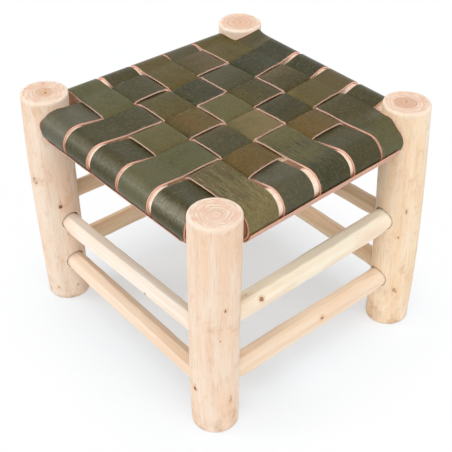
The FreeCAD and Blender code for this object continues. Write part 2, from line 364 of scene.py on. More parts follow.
def knot_layers(tree, values, grain, marks, seed):
    # branch marks: each has a heart and an outer line, with a stain drawn out along the grain
    layers = []
    for index, (spot, size, stretch, kind) in enumerate(marks):
        line, stain, heart, strength = knot_kinds[kind]
        offset = vectors(tree, "SUBTRACT", grain, spot)
        shaped = vectors(tree, "MULTIPLY", offset, (1 / size, 1 / size, 1 / (size * stretch)))
        reach = vectors(tree, "LENGTH", shaped, output="Value")
        name = "knot_" + str(index)
        values[name] = swayed(tree, reach, noise(tree, grain, seed + index, *knot_noise), *knot_sway)
        layers.append((stain, name, *stain_zone, strength))
        layers.append((line, name, *line_zone))
        layers.append((heart, name, *heart_zone))
    return layers


peel_cream = colour(247, 225, 203)
peel_peach = colour(243, 209, 180)
peel_tan = colour(225, 183, 146)
peel_brown = colour(172, 130, 98)
peel_white_and_highlight = colour(248, 234, 218)
rim_sway = 2.5 * mm
rim_highlight = (5 * mm, 1 * mm)
handled_height = (42 * mm, 8 * mm)
scuffed_height = (6 * mm, 0.5 * mm)


def peeled_wood(name, seed, knots, top, wood_tones):
    # the side of a peeled pole: cream and peach drifts, fibres, flecks, smudges, knots, and pale rims that
    # are a painted highlight
    material, tree, grain = new_material(name, "grain_place")
    values = noises(
        tree, grain, seed, drift=(28, 9), streak=(130, 8, 1.3, 5.0, 0.6), fibre=(560, 42, 2.1, 4.0, 0.6),
        smudge=(60, 40, 3.7, 6.0, 0.72), fleck=(420, 160, 4.9, 2.0), worn=(70, 70, 5.5, 3.0),
    )
    height = add(tree, "SeparateXYZ", {0: grain}).outputs[2]
    values["height"] = swayed(tree, height, values["worn"], span=0.2, amount=rim_sway)
    values["handled"] = shared(tree, values, ("smudge", 0.42, 0.66), ("height", *handled_height, 0.0, 0.30))
    rim = [top - depth for depth in rim_highlight]
    pale, deep = wood_tones
    layers = [
        (deep, "drift", 0.36, 0.66, 1.0),
        (peel_tan, "streak", 0.52, 0.76, 0.38),
        (peel_white_and_highlight, "streak", 0.48, 0.30, 0.55),
        (peel_tan, "fibre", 0.50, 0.74, 0.62),
        (peel_tan, "smudge", 0.50, 0.72, 0.82),
        (peel_brown, "fleck", 0.69, 0.76, 0.6),
        *knot_layers(tree, values, grain, knots, seed + knot_seed_step),
        # painted highlight: a pale band along the eased rim at the top
        (peel_white_and_highlight, "height", *rim, 0.45),
        (peel_brown, "handled"),
        (peel_brown, "height", *scuffed_height, 0.35),
    ]
    reliefs = [("fibre", 0.25, 0.5), ("streak", 0.35, 1.0)]
    finish(tree, values, pale, layers, ("streak", 0.3, 0.7, 0.60, 0.72), reliefs, specular=0.15)
    return material


sawn_cream = colour(247, 224, 203)
sawn_pink = colour(239, 203, 180)
ring_tan = colour(198, 147, 114)
ring_brown = colour(170, 118, 88)
ring_sway = 2.6 * mm
fine_ring_share = 0.41
heart_line = (1.2 * mm, 0.2 * mm)
sawn_rim_highlight = (4.8 * mm, 2.4 * mm)
sawn_rim_sway = 1.5 * mm
sawn_mark_step = 5.0


def end_grain(name, seed, pith, ring_width, heart, marks, rim_radius):
    # a sawn end: growth rings round an off-centre pith, a toned heart, saw scratches, and a pale rim that is
    # a painted highlight on the eased edge
    heart_radius, heart_blur, heart_tone = heart
    material, tree, grain = new_material(name, "grain_place")
    flat = vectors(tree, "MULTIPLY", grain, (1.0, 1.0, 0.0))
    offset = vectors(tree, "SUBTRACT", flat, (*pith, 0.0))
    values = noises(
        tree, offset, seed, sway=(48, 1, 0.0, 3.0), patch=(90, 1, 1.0, 3.0),
        scratch=(520, 1, 2.0, 3.0, 0.65, 1.5),
    )
    reach = vectors(tree, "LENGTH", offset, output="Value")
    reach = swayed(tree, reach, values["sway"], span=0.25, amount=ring_sway)
    values["reach"] = reach
    values["from_heart"] = apart(tree, reach, heart_radius)
    for wave, width in (("wave", ring_width), ("fine_wave", fine_ring_share * ring_width)):
        values[wave] = sums(tree, "SINE", sums(tree, "MULTIPLY", reach, full_turn / width))
    values["line"] = shared(tree, values, ("wave", 0.45, 1.0), ("patch", 0.35, 0.65, 0.08, 0.50))
    values["fine_line"] = shared(tree, values, ("fine_wave", 0.3, 1.0), ("sway", 0.4, 0.6, 0.0, 0.35))
    outline = ("from_heart", *heart_line)
    values["heart_line"] = shared(tree, values, outline, ("patch", 0.4, 0.62, 0.05, 0.40))
    edge = vectors(tree, "LENGTH", flat, output="Value")
    values["edge"] = swayed(tree, edge, values["patch"], span=0.2, amount=sawn_rim_sway)
    inner, outer = heart_radius * (1 - heart_blur), heart_radius * (1 + heart_blur)
    rim = [rim_radius - depth for depth in sawn_rim_highlight]
    layers = [
        (sawn_pink, "patch", 0.62, 0.38, 1.0),
        (heart_tone, "reach", outer, inner, 0.65),
        (ring_tan, "fine_line"),
        (ring_tan, "line"),
        (ring_brown, "heart_line"),
        (ring_tan, "scratch", 0.58, 0.76, 0.35),
        *knot_layers(tree, values, flat, marks, seed + sawn_mark_step),
        # painted highlight: a pale band round the eased rim of the sawn face
        (peel_white_and_highlight, "edge", *rim, 0.6),
    ]
    reliefs = [("scratch", 0.4, 0.4), ("line", 0.3, 0.4)]
    finish(tree, values, sawn_cream, layers, ("line", 0.0, 1.0, 0.80, 0.68), reliefs, specular=0.2)
    return material


hole_shade_brown = colour(104, 72, 50)
hole_shade_dark = colour(58, 40, 30)


def drilled_wood(name):
    # the wall of a drilled hole, painted dark as the shade inside it, and rough, seen as a thin dark line
    # round a rung
    material, tree, grain = new_material(name, "grain_place")
    values = noises(tree, grain, seed=6.0, stain=(200, 200))
    layers = [(hole_shade_dark, "stain", 0.3, 0.7, 1.0)]
    reliefs = [("stain", 0.3, 0.5)]
    finish(tree, values, hole_shade_brown, layers, ("stain", 0.3, 0.7, 0.8, 0.9), reliefs, specular=0.1)
    return material


# the holes' walls are painted dark, standing in for the shade inside them
hole_shade_wall = drilled_wood("drilled_hole_painted_shade")
rung_names = ["rung_" + side + "_" + level for side in rail_sides for level in ("upper", "lower")]
rung_lines = {rung: pole_ends(rung) for rung in rung_names}
rail_lines = {side: pole_ends("seat_rail_" + side) for side in rail_sides}
rung_end_share = 0.95
rail_tenon_radius = 11.0 * mm
rail_slack = 0.3 * mm
# knots on each leg: turn round it in degrees from +x, height, size, stretch along the grain, kind
leg_knots = {
    "front_left": [
        (-86, 186, 4.2, 1.2, "ring"), (-24, 151, 2.3, 1.3, "dark"), (-23, 157, 0.8, 5.0, "dark"),
        (-13, 107, 1.1, 2.0, "dark"), (-60, 19, 1.8, 1.2, "soft"), (-4, 21, 1.2, 1.2, "round"),
        (-124, 78, 1.3, 4.0, "round"), (80, 120, 2.6, 1.4, "soft"), (140, 205, 2.2, 1.5, "dark"),
    ],
    "front_right": [
        (-18, 189, 1.3, 1.8, "round"), (-29, 147, 0.7, 1.3, "dark"), (-93, 64, 2.2, 1.1, "dark"),
        (-92, 69, 0.7, 4.0, "soft"), (-75, 234, 0.6, 4.0, "soft"), (1, 50, 2.4, 3.2, "soft"),
        (-100, 215, 0.6, 5.0, "soft"), (120, 160, 2.4, 1.4, "dark"), (60, 90, 2.0, 1.5, "soft"),
    ],
    "back_right": [
        (-38, 137, 0.9, 1.4, "round"), (-30, 54, 1.1, 1.4, "dark"), (-36, 57, 2.6, 1.2, "soft"),
        (-87, 5, 0.8, 1.0, "dark"), (-57, 9, 0.8, 1.0, "dark"), (-25, 174, 1.6, 2.2, "soft"),
        (60, 150, 2.8, 1.5, "ring"), (110, 230, 2.0, 1.4, "dark"),
    ],
    "back_left": [
        (-20, 120, 2.0, 1.4, "soft"), (150, 170, 3.0, 1.5, "dark"), (90, 80, 2.6, 1.4, "ring"),
        (-150, 60, 1.6, 1.4, "round"),
    ],
}
# sawn tops: pith off the middle, ring width, the heart's radius, blur and tone, and small marks on the face
leg_tops = {
    "front_left": ((0.5, 0.5), 4.6, (9.0, 0.7, colour(212, 164, 122)), [
        (2.9, 0.0, 1.2, 1.0, "dark"), (-3.0, 3.5, 1.6, 1.0, "soft"), (-17.5, 10.0, 0.9, 1.0, "round"),
        (-20.5, -13.0, 0.8, 1.0, "dark"), (-8.0, -22.5, 0.7, 1.0, "dark"),
    ]),
    "front_right": ((1.5, 0.5), 4.2, (7.0, 0.7, colour(243, 212, 190)), [(-10.8, 4.1, 0.6, 1.0, "soft")]),
    "back_right": ((-1.0, 0.0), 5.2, (13.0, 0.16, colour(211, 167, 137)), [
        (-1.0, 0.8, 0.8, 1.0, "dark"), (-2.3, 1.9, 0.7, 1.0, "round"), (-3.6, 3.0, 0.6, 1.0, "round"),
    ]),
    "back_left": ((0.5, 0.5), 6.2, (16.0, 0.6, colour(226, 182, 152)), [(0.5, 0.5, 1.4, 1.0, "soft")]),
}
# the back right pole is yellower than the others
leg_tones = {"back_right": (colour(251, 227, 196), colour(247, 213, 175))}
# how far each pole bows aside at half height, towards +x and +y, and how much fuller it is there
leg_bows = {
    "front_left": (-0.9, -1.1, 0.6), "front_right": (-0.6, -0.7, 1.0), "back_right": (2.2, 2.6, 0.7),
    "back_left": (-0.4, 0.5, 0.4),
}
leg_grain_seed = 3.0
leg_grain_step = 7.0
leg_top_seed = 2.0
leg_lines = {}
for index, leg in enumerate(leg_names):
    points = node_points("leg_" + leg)
    top = points[:, 2].max()
    foot_middle, foot_radius = ring_at(points, solid_rim_ease)
    top_middle, top_radius = ring_at(points, top - solid_rim_ease)
    slope = (top_middle - foot_middle) / (top_middle[2] - foot_middle[2])
    foot = foot_middle - slope * foot_middle[2]
    crown = foot + slope * top
    leg_lines[leg] = (foot, crown, top_radius)
    waves = uneven(leg_shape_seed + index, leg_waves, leg_unevenness)
    bow_x, bow_y, fuller = [amount * mm for amount in leg_bows[leg]]

    def leg_radius(angles, place):
        taper = foot_radius + (top_radius - foot_radius) * place / top
        return taper + fuller * math.sin(math.pi * place / top) + waves(angles, place)

    angles = np.arange(leg_sides_around) * full_turn / leg_sides_around
    ripple = rim_ripple_share * np.sin(rim_ripples * angles + index)
    rim = 1 + leg_rim_wander * (np.cos(angles + rim_phase) + ripple)
    knots = [mark_on(top_radius, turn, height * mm, *look) for turn, height, *look in leg_knots[leg]]
    wood_tones = leg_tones.get(leg, (peel_cream, peel_peach))
    grain_seed = leg_grain_seed + leg_grain_step * index
    side_wood = peeled_wood("peeled_wood_" + leg, grain_seed, knots, top, wood_tones)
    (pith_x, pith_y), ring_width, (heart_radius, heart_blur, heart_tone), marks = leg_tops[leg]
    pith = (pith_x * mm, pith_y * mm)
    heart = (heart_radius * mm, heart_blur, heart_tone)
    marks = [((x * mm, y * mm, 0.0), size * mm, stretch, kind) for x, y, size, stretch, kind in marks]
    top_seed = leg_top_seed + index
    top_wood = end_grain("end_grain_" + leg, top_seed, pith, ring_width * mm, heart, marks, top_radius)
    rows = eased_rows(np.linalg.norm(crown - foot), leg_row_step, leg_rim_ease)
    stock = (foot, crown, east, north)
    peeled = pole(
        "peeled_leg_" + leg, stock, rows, leg_radius, leg_sides_around, leg_cap_shares,
        [side_wood, top_wood, hole_shade_wall], rim, np.array((bow_x, bow_y, 0.0)),
    )
    sockets = []
    for start, end, radius in rung_lines.values():
        sockets.append((start, end, radius * rung_end_share + hole_slack, hole_drop))
    for start, end, _ in rail_lines.values():
        sockets.append((start, end, rail_tenon_radius + rail_slack, 0.0))
    holes = []
    for start, end, hole_radius, drop in sockets:
        along = unit(end - start)
        for tip, way in ((start, along), (end, -along)):
            axis_here = foot + slope * tip[2]
            if np.linalg.norm((tip - axis_here)[:2]) < top_radius:
                inner = tip - way * hole_end_gap + up * drop
                holes.append((inner, inner + way * 2 * top_radius, hole_radius))
    drilled(peeled, holes)
    mark_grain(peeled, stock)
    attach(peeled, "root")
    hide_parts("leg_" + leg)

# Rungs: eight thin poles whittled with a knife into broad long flats, paler and yellower than the legs.
# Their ends are shaved round and thinner, and pushed into drilled holes with a thin gap at one side, whose
# wall is painted dark as shade.
rung_sides_around = 80
rung_row_step = 2.5 * mm
rung_neck = 14 * mm
rung_socket_depth = 15 * mm
rung_end_ease = 1.0 * mm
end_cap_shares = (0.6, 0.25)
rung_shape_seed = 300
rung_grain_seed = 40.0
rung_grain_step = 6.0
# the paler and deeper tone of each rung's wood: painted light and shade, paler on the rungs that face the
# light and browner on the two sides away from it
shaded_rung_tones = (colour(240, 214, 182), colour(228, 194, 156))
lit_rung_tones = {
    "rung_front_upper": (colour(255, 241, 226), colour(252, 232, 209)),
    "rung_front_lower": (colour(247, 224, 201), colour(242, 211, 180)),
    "rung_right_upper": (colour(255, 243, 220), colour(252, 233, 203)),
    "rung_right_lower": (colour(248, 225, 200), colour(243, 212, 180)),
}
# which way one of each rung's flats faces, in degrees from the outside towards the top
flat_turns = {"rung_front_upper": 94, "rung_front_lower": 118, "rung_right_upper": 92, "rung_right_lower": 98}
other_flat_turn = 70
# the flats: how many, how crisp, their depth as a share of the radius, and how they wander along the rung
rung_flats = 7
flat_sharpness = 46.0
flat_drift = 0.12
flat_depth = 0.945
flat_depth_drift = 0.030
flat_pitches = (5, 16)
flat_phases = (0, 6.3)
flat_swell = 0.020
flat_wander = 0.10
wander_pitch = 1.7
stroke_lengths = (30, 70)
stroke_starts = (0, 3.1)
whittle_depth = 0.40 * mm


def whittled_radius(seed, radius, length, first_turn):
    # the section left by long knife strokes: flats that wander, widen and run out along the rung
    draw = random.Random(seed)
    cuts = []
    for index in range(rung_flats):
        drift = draw.uniform(-flat_drift, flat_drift)
        turn = math.radians(first_turn) + full_turn * (index + drift) / rung_flats
        depth = flat_depth + draw.uniform(-flat_depth_drift, flat_depth_drift)
        pitch, phase = draw.uniform(*flat_pitches), draw.uniform(*flat_phases)
        stroke, begin = draw.uniform(*stroke_lengths) * mm, draw.uniform(*stroke_starts)
        cuts.append((turn, depth, pitch, phase, stroke, begin))

    def radius_at(angles, place):
        total = np.zeros_like(angles)
        for turn, depth, pitch, phase, stroke, begin in cuts:
            wander = flat_wander * math.sin(pitch * place * wander_pitch + phase)
            level = radius * (depth + flat_swell * math.sin(pitch * place + phase))
            level = level - whittle_depth * abs(math.sin(math.pi * place / stroke + begin))
            facing = np.clip(np.cos(angles - turn - wander), 0.0, None)
            total = total + (facing / level) ** flat_sharpness
        carved = total ** (-1 / flat_sharpness)
        inside = rung_socket_depth - min(place, length - place)
        roundness = min(max(1 + inside / rung_neck, 0.0), 1.0)
        return carved * (1 - roundness) + radius * rung_end_share * roundness

    return radius_at


rung_tan = colour(224, 184, 146)
rail_end_shadow = colour(128, 88, 60)
end_shadow_reach = 17 * mm


def whittled_wood(name, seed, wood_tones, knots, shaded_ends=None):
    # the surface left by the knife: yellow cream with long fine grain lines and a few blushes
    pale, deep = wood_tones
    material, tree, grain = new_material(name, "grain_place")
    values = noises(
        tree, grain, seed, streak=(160, 6, 0.0, 5.0, 0.6, 0.4), line=(420, 8, 1.7, 4.0, 0.6),
        blush=(40, 10, 2.9, 3.0), speck=(320, 130, 4.1, 2.0),
    )
    layers = [
        (pale, "streak", 0.34, 0.62, 1.0),
        (rung_tan, "line", 0.54, 0.75, 0.5),
        (peel_peach, "blush", 0.50, 0.72, 0.6),
        (peel_brown, "speck", 0.72, 0.80, 0.5),
        *knot_layers(tree, values, grain, knots, seed + knot_seed_step),
    ]
    # painted shadow: the wood darkens towards each shoulder by the legs
    if shaded_ends:
        first, last = shaded_ends
        along = add(tree, "SeparateXYZ", {0: grain}).outputs[2]
        at_start = between(tree, along, first + end_shadow_reach, first + end_shadow_reach / 2)
        at_end = between(tree, along, last - end_shadow_reach, last - end_shadow_reach / 2)
        values["stain"] = sums(tree, "MAXIMUM", at_start, at_end)
        layers.append((rail_end_shadow, "stain"))
    reliefs = [("line", 0.20, 0.4), ("streak", 0.25, 0.8)]
    finish(tree, values, deep, layers, ("streak", 0.3, 0.7, 0.64, 0.54), reliefs, specular=0.28)
    return material


# knots on each rung: turn from the outside towards the top, share of its length, size, stretch, kind
rung_knots = {
    "rung_front_upper": [(-28, 0.360, 1.1, 1.8, "dark")],
    "rung_front_lower": [(-26, 0.330, 1.1, 1.8, "soft")],
    "rung_right_upper": [(29, 0.837, 2.5, 1.1, "round"), (85, 0.887, 0.7, 1.0, "dark")],
    "rung_right_lower": [(24, 0.455, 2.1, 1.2, "round")],
    "rung_back_upper": [(200, 0.30, 2.0, 1.6, "soft")],
    "rung_back_lower": [(-60, 0.62, 2.2, 1.5, "round")],
    "rung_left_upper": [(40, 0.40, 2.0, 1.8, "soft")],
    "rung_left_lower": [(70, 0.55, 2.2, 1.6, "round")],
}
knot_depth_share = 0.95
rung_end_seed = 9.0
rung_ring_width = 1.8 * mm
rung_heart = (4 * mm, 0.5, peel_peach)
rung_end_radius = 16 * mm
rung_end_wood = end_grain(
    "end_grain_rungs", rung_end_seed, (0.0, 0.0), rung_ring_width, rung_heart, [], rung_end_radius,
)
for index, rung in enumerate(rung_names):
    start, end, radius = rung_lines[rung]
    along = unit(end - start)
    outward = unit(np.cross(along, up))
    if outward @ (start + end) < 0:
        outward = -outward
    rise = np.cross(along, outward)
    if rise[2] < 0:
        start, end = end, start
        rise = -rise
    length = np.linalg.norm(end - start)
    knot_reach = radius * knot_depth_share
    knots = [mark_on(knot_reach, turn, share * length, *look) for turn, share, *look in rung_knots[rung]]
    grain_seed = rung_grain_seed + rung_grain_step * index
    wood = whittled_wood("whittled_wood_" + rung, grain_seed, lit_rung_tones.get(rung, shaded_rung_tones), knots)
    rows = eased_rows(length, rung_row_step, rung_end_ease)
    first_turn = flat_turns.get(rung, other_flat_turn)
    section = whittled_radius(rung_shape_seed + index, radius, length, first_turn)
    stock = (start, end, outward, rise)
    woods = [wood, rung_end_wood]
    whittled = pole("whittled_" + rung, stock, rows, section, rung_sides_around, end_cap_shares, woods)
    mark_grain(whittled, stock)
    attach(whittled, "root")
    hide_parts(rung)

# Seat rails: four round poles between the leg tops, turned down to a smaller tenon at each end.
# The straps hide them, apart from slivers of pale wood in the gaps and the shoulders by the legs, which are
# darkened with painted shadow.
rail_sides_around = 64
rail_row_step = 3 * mm
rail_shoulder = 1.2 * mm
shoulder_overrun_share = 1.01
rail_inset = 0.3 * mm
rail_unevenness = 0.10 * mm
rail_waves = 5
rail_shape_seed = 200
rail_grain_seed = 95.0
rail_tones = (colour(252, 234, 216), colour(245, 214, 188))
for index, side in enumerate(rail_sides):
    start, end, radius = rail_lines[side]
    along = unit(end - start)
    rise = unit(up - along * (up @ along))
    outward = np.cross(rise, along)
    length = np.linalg.norm(end - start)
    points = node_points("seat_rail_" + side)
    places = (points - start) @ along
    distances = np.linalg.norm(points - start - np.outer(places, along), axis=1)
    shoulders = places[distances > radius - rail_inset]
    first, last = shoulders.min() + rail_shoulder, shoulders.max() - rail_shoulder
    waves = uneven(rail_shape_seed + index, rail_waves, rail_unevenness)
    rail_wood = whittled_wood("rail_wood_" + side, rail_grain_seed + index, rail_tones, [], (first, last))

    def rail_radius(angles, place):
        inside = max(first - place, place - last)
        if inside > rail_shoulder:
            return np.full_like(angles, rail_tenon_radius)
        share = max(inside / rail_shoulder, 0.0)
        full = radius - rail_inset + waves(angles, place)
        return full * (1 - share) + rail_tenon_radius * share

    overrun = rail_shoulder * shoulder_overrun_share
    steps = list(np.arange(0.0, length, rail_row_step)) + [length]
    steps += [first - overrun, first, last, last + overrun]
    rows = [(float(place), 0.0) for place in sorted(steps)]
    stock = (start, end, outward, rise)
    woods = [rail_wood, rung_end_wood]
    rail = pole("pole_rail_" + side, stock, rows, rail_radius, rail_sides_around, end_cap_shares, woods)
    rail.data.set_sharp_from_angle(angle=crisp_angle)
    mark_grain(rail, stock)
    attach(rail, "root")
    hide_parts("seat_rail_" + side)

# Straps: ten bands of thick vegetable-tanned leather, dyed green on the grain side and left raw at the
# cut edges. Five run front to back and five left to right in a plain weave. Each swells over one strap
# and dips under the next, bends round the rail at both ends, and its tail is tacked up underneath.
strap_thickness = 2.8 * mm
strap_gap = 0.3 * mm
edge_ease = 0.35 * mm
strap_columns = 19
strap_rows = 320
strap_radius = rail_lines["front"][2] + strap_gap + strap_thickness / 2
rail_level = rail_lines["front"][0][2]
weave_drop = 3.6 * mm
weave_level = rail_level + strap_radius - weave_drop
crossing_lift = 1.75 * mm
over_swell = 0.9 * mm
under_dip = 0.4 * mm
bend_softness = 2.6 * mm
touch_gap = 0.10 * mm
settle_rounds = 2
cross_steps = 13
wrap_steps = 48
tail_steps = 10
meeting_steps = 12
window_spreads = 3
tail_length = 66 * mm
corner_tail_length = 9 * mm
# edges of each strap in plan at three places: front, middle and back, or left, middle and right
table_reach = 150 * mm
lengthwise_edges = [
    ((-128, -132, -135), (-82.5, -86.5, -90)),
    ((-76, -78, -97), (-34, -31.5, -52)),
    ((-28, -30.5, -44.5), (18.5, 15, -1)),
    ((23.5, 20.5, 5.5), (72, 65.5, 48.5)),
    ((78.5, 67.5, 56.5), (131, 108, 101)),
]
crosswise_edges = [
    ((-114.5, -118, -117), (-72.5, -71.5, -73.5)),
    ((-66, -68, -66), (-24, -22, -22)),
    ((-18.5, -18.5, -13), (24.5, 27.5, 33)),
    ((27, 29, 39.5), (70.5, 77.5, 83)),
    ((74, 80, 86), (121, 127, 136)),
]


def edge_line(places):
    # a gentle curve through three places, straight on beyond the first and last
    first, middle, last = [place * mm for place in places]
    bend = ((first + last) / 2 - middle) / table_reach**2
    lean = (last - first) / (2 * table_reach)

    def at(along):
        along = np.asarray(along, float)
        inside = np.clip(along, -table_reach, table_reach)
        slope = lean + 2 * bend * inside
        return middle + lean * inside + bend * inside**2 + slope * (along - inside)

    return at


side_gap = 0.3 * mm


def short_of(line, neighbour):
    # a strap's edge line that stops just short of the next strap's edge
    def at(along):
        return np.minimum(line(along), neighbour(along) - side_gap)

    return at


def strap_lines(edge_table):
    lines = [tuple(edge_line(places) for places in edges) for edges in edge_table]
    for index in range(len(lines) - 1):
        first, last = lines[index]
        lines[index] = (first, short_of(last, lines[index + 1][0]))
    return lines


lengthwise_lines = strap_lines(lengthwise_edges)
crosswise_lines = strap_lines(crosswise_edges)


def meeting(line, other):
    # where a line along one way crosses a line along the other way, found by repeated steps
    along = 0.0
    for _ in range(meeting_steps):
        along = float(other(line(along)))
    return along


def softened(values, spread):
    # evens out a run of values with a bell-shaped window, measured in rows
    reach = int(math.ceil(window_spreads * spread))
    window = np.exp(-0.5 * (np.arange(-reach, reach + 1) / spread) ** 2)
    window = window / window.sum()
    padded = np.concatenate([np.repeat(values[:1], reach), values, np.repeat(values[-1:], reach)])
    return np.convolve(padded, window, mode="valid")


def rail_place(side, across):
    # how far out the rail's middle lies, at a place along it
    start, end, _ = rail_lines[side]
    run, out = (0, 1) if side in ("front", "back") else (1, 0)
    share = (across - start[run]) / (end[run] - start[run])
    return start[out] + (end[out] - start[out]) * share


def wrap_run(side, way, across, target, tail):
    # a strap's end as places out and up: its tail under the rail, then round to where it leaves the rail
    middle = rail_place(side, across)
    inward = (middle - target[0]) * way
    rise = target[1] - rail_level
    leave = math.acos(min(1.0, strap_radius / math.hypot(inward, rise))) - math.atan2(inward, rise)
    run = []
    for reach in np.linspace(tail, 0.0, tail_steps, endpoint=False):
        run.append((middle - way * reach, rail_level - strap_radius))
    for turn in np.linspace(math.pi, leave, wrap_steps):
        run.append((middle + way * strap_radius * math.sin(turn), rail_level + strap_radius * math.cos(turn)))
    return run


def strap_surface(edges, others, over_first, start_side, end_side, tail):
    # the middle of a strap's thickness: rows along it, columns across it, each as along, across, height
    surface = np.zeros((strap_rows, strap_columns, 3))
    lengths = []
    first_edge, last_edge = edges
    for column, share in enumerate(np.linspace(0.0, 1.0, strap_columns)):

        def line(along):
            return first_edge(along) * (1 - share) + last_edge(along) * share

        woven = []
        over = over_first
        for near, far in others:
            first, last = meeting(line, near), meeting(line, far)
            for step in np.linspace(0.0, 1.0, cross_steps):
                arch = math.sin(math.pi * step)
                rise = crossing_lift + over_swell * arch if over else -crossing_lift - under_dip * arch
                woven.append((first + (last - first) * step, weave_level + rise))
            over = not over
        head = wrap_run(start_side, -1, float(line(woven[0][0])), woven[0], tail)
        foot = wrap_run(end_side, 1, float(line(woven[-1][0])), woven[-1], tail)
        run = np.array(head + woven + foot[::-1])
        travel = np.concatenate([[0.0], np.cumsum(np.linalg.norm(np.diff(run, axis=0), axis=1))])
        even = np.linspace(0.0, travel[-1], strap_rows * 2)
        spread = bend_softness / (even[1] - even[0])
        pick = np.linspace(0.0, travel[-1], strap_rows)
        along = np.interp(pick, even, softened(np.interp(even, travel, run[:, 0]), spread))
        height = np.interp(pick, even, softened(np.interp(even, travel, run[:, 1]), spread))
        leave, arrive = travel[len(head) - 1], travel[-len(foot)]
        under_head, under_foot = travel[tail_steps], travel[-tail_steps - 1]
        plan = np.where(pick < leave, head[-1][0] + np.maximum(pick, under_head) - leave, along)
        plan = np.where(pick > arrive, foot[-1][0] + np.minimum(pick, under_foot) - arrive, plan)
        surface[:, column, 0] = along
        surface[:, column, 1] = line(plan)
        surface[:, column, 2] = height
        lengths.append(travel[-1])
    return surface, float(np.mean(lengths)), tail


def height_on(surface, along, across):
    # a strap's height at places in plan, read between its columns and rows; not a number where it isn't
    part = surface[surface[:, :, 2].min(axis=1) > rail_level]
    columns = range(strap_columns)
    sides = np.stack([np.interp(along, part[:, column, 0], part[:, column, 1]) for column in columns])
    levels = np.stack([np.interp(along, part[:, column, 0], part[:, column, 2]) for column in columns])
    share = (across - sides[0]) / (sides[-1] - sides[0]) * (strap_columns - 1)
    low = np.clip(share.astype(int), 0, strap_columns - 2)
    part_way = share - low
    rows = np.arange(along.size)
    level = levels[low, rows] * (1 - part_way) + levels[low + 1, rows] * part_way
    return np.where((share >= 0) & (share <= strap_columns - 1), level, np.nan)


leg_touch = 0.7 * mm
squeeze_share = 0.8
bulge_share = 0.55
bulge_slack = 1.5 * mm
squeeze_rows = 7.0
squeeze_power = 1.3
bulge_power = 1.2
bulge_fade = 0.75


def clear_legs(surface, run_axis):
    # where a leg stands in a strap's way, its edge is squeezed aside and curls up a little against the leg
    tangent = np.gradient(surface[:, strap_columns // 2], axis=0)
    normal = np.stack([-tangent[:, 2], tangent[:, 0]], axis=1)
    normal = normal / np.linalg.norm(normal, axis=1, keepdims=True)
    outward = normal[:, 0] * np.sign(surface[:, strap_columns // 2, 0])
    fade = np.clip(outward / bulge_fade, 0.0, 1.0)
    on_top = np.clip(normal[:, 1], 0.0, 1.0) * (1 - fade**2 * (3 - 2 * fade))
    for foot, crown, top_radius in leg_lines.values():
        for edge, way in ((0, 1), (-1, -1)):
            rows = surface[:, edge]
            axis = foot + np.outer(rows[:, 2] / crown[2], crown - foot)
            reach = top_radius + leg_touch
            room = np.clip(reach**2 - (rows[:, 0] - axis[:, run_axis]) ** 2, 0.0, None) ** 0.5
            beside = (rows[:, 1] - axis[:, 1 - run_axis]) * way
            push = np.where((room > 0) & (beside > -reach), np.clip(room - beside, 0.0, None), 0.0)
            push = np.maximum(push, softened(push, squeeze_rows))
            weight = np.linspace(1.0, 0.0, strap_columns)[::way]
            weight = np.clip((weight - 1 + squeeze_share) / squeeze_share, 0.0, 1.0)
            surface[:, :, 1] += np.outer(push, weight**squeeze_power) * way
            swell = np.clip(push - bulge_slack, 0.0, None) * bulge_share * on_top
            surface[:, :, 2] += np.outer(swell, weight**bulge_power)


lengthwise = []
for index, edges in enumerate(lengthwise_lines):
    lengthwise.append(strap_surface(edges, crosswise_lines, index % 2 == 1, "front", "back", tail_length))
crosswise = []
for index, edges in enumerate(crosswise_lines):
    tail = corner_tail_length if index in (0, len(crosswise_lines) - 1) else tail_length
    crosswise.append(strap_surface(edges, lengthwise_lines, index % 2 == 0, "left", "right", tail))

# Where two straps cross, the upper one rests on the lower one and never cuts into it
long_surfaces = [surface for surface, _, _ in lengthwise]
cross_surfaces = [surface for surface, _, _ in crosswise]
for _ in range(settle_rounds):
    for row, long_surface in enumerate(long_surfaces):
        for other, cross_surface in enumerate(cross_surfaces):
            pair = (long_surface, cross_surface)
            upper, lower = pair if (row + other) % 2 else reversed(pair)
            below = height_on(lower, upper[:, :, 1].ravel(), upper[:, :, 0].ravel()).reshape(strap_rows, -1)
            need = below + strap_thickness + touch_gap - upper[:, :, 2]
            need = np.where(np.isnan(need), 0.0, np.clip(need, 0.0, None))
            near_top = upper[:, :, 2] > rail_level + strap_radius / 2
            upper[:, :, 2] += np.where(near_top, need, 0.0)
for surfaces, run_axis in ((long_surfaces, 1), (cross_surfaces, 0)):
    for surface in surfaces:
        clear_legs(surface, run_axis)


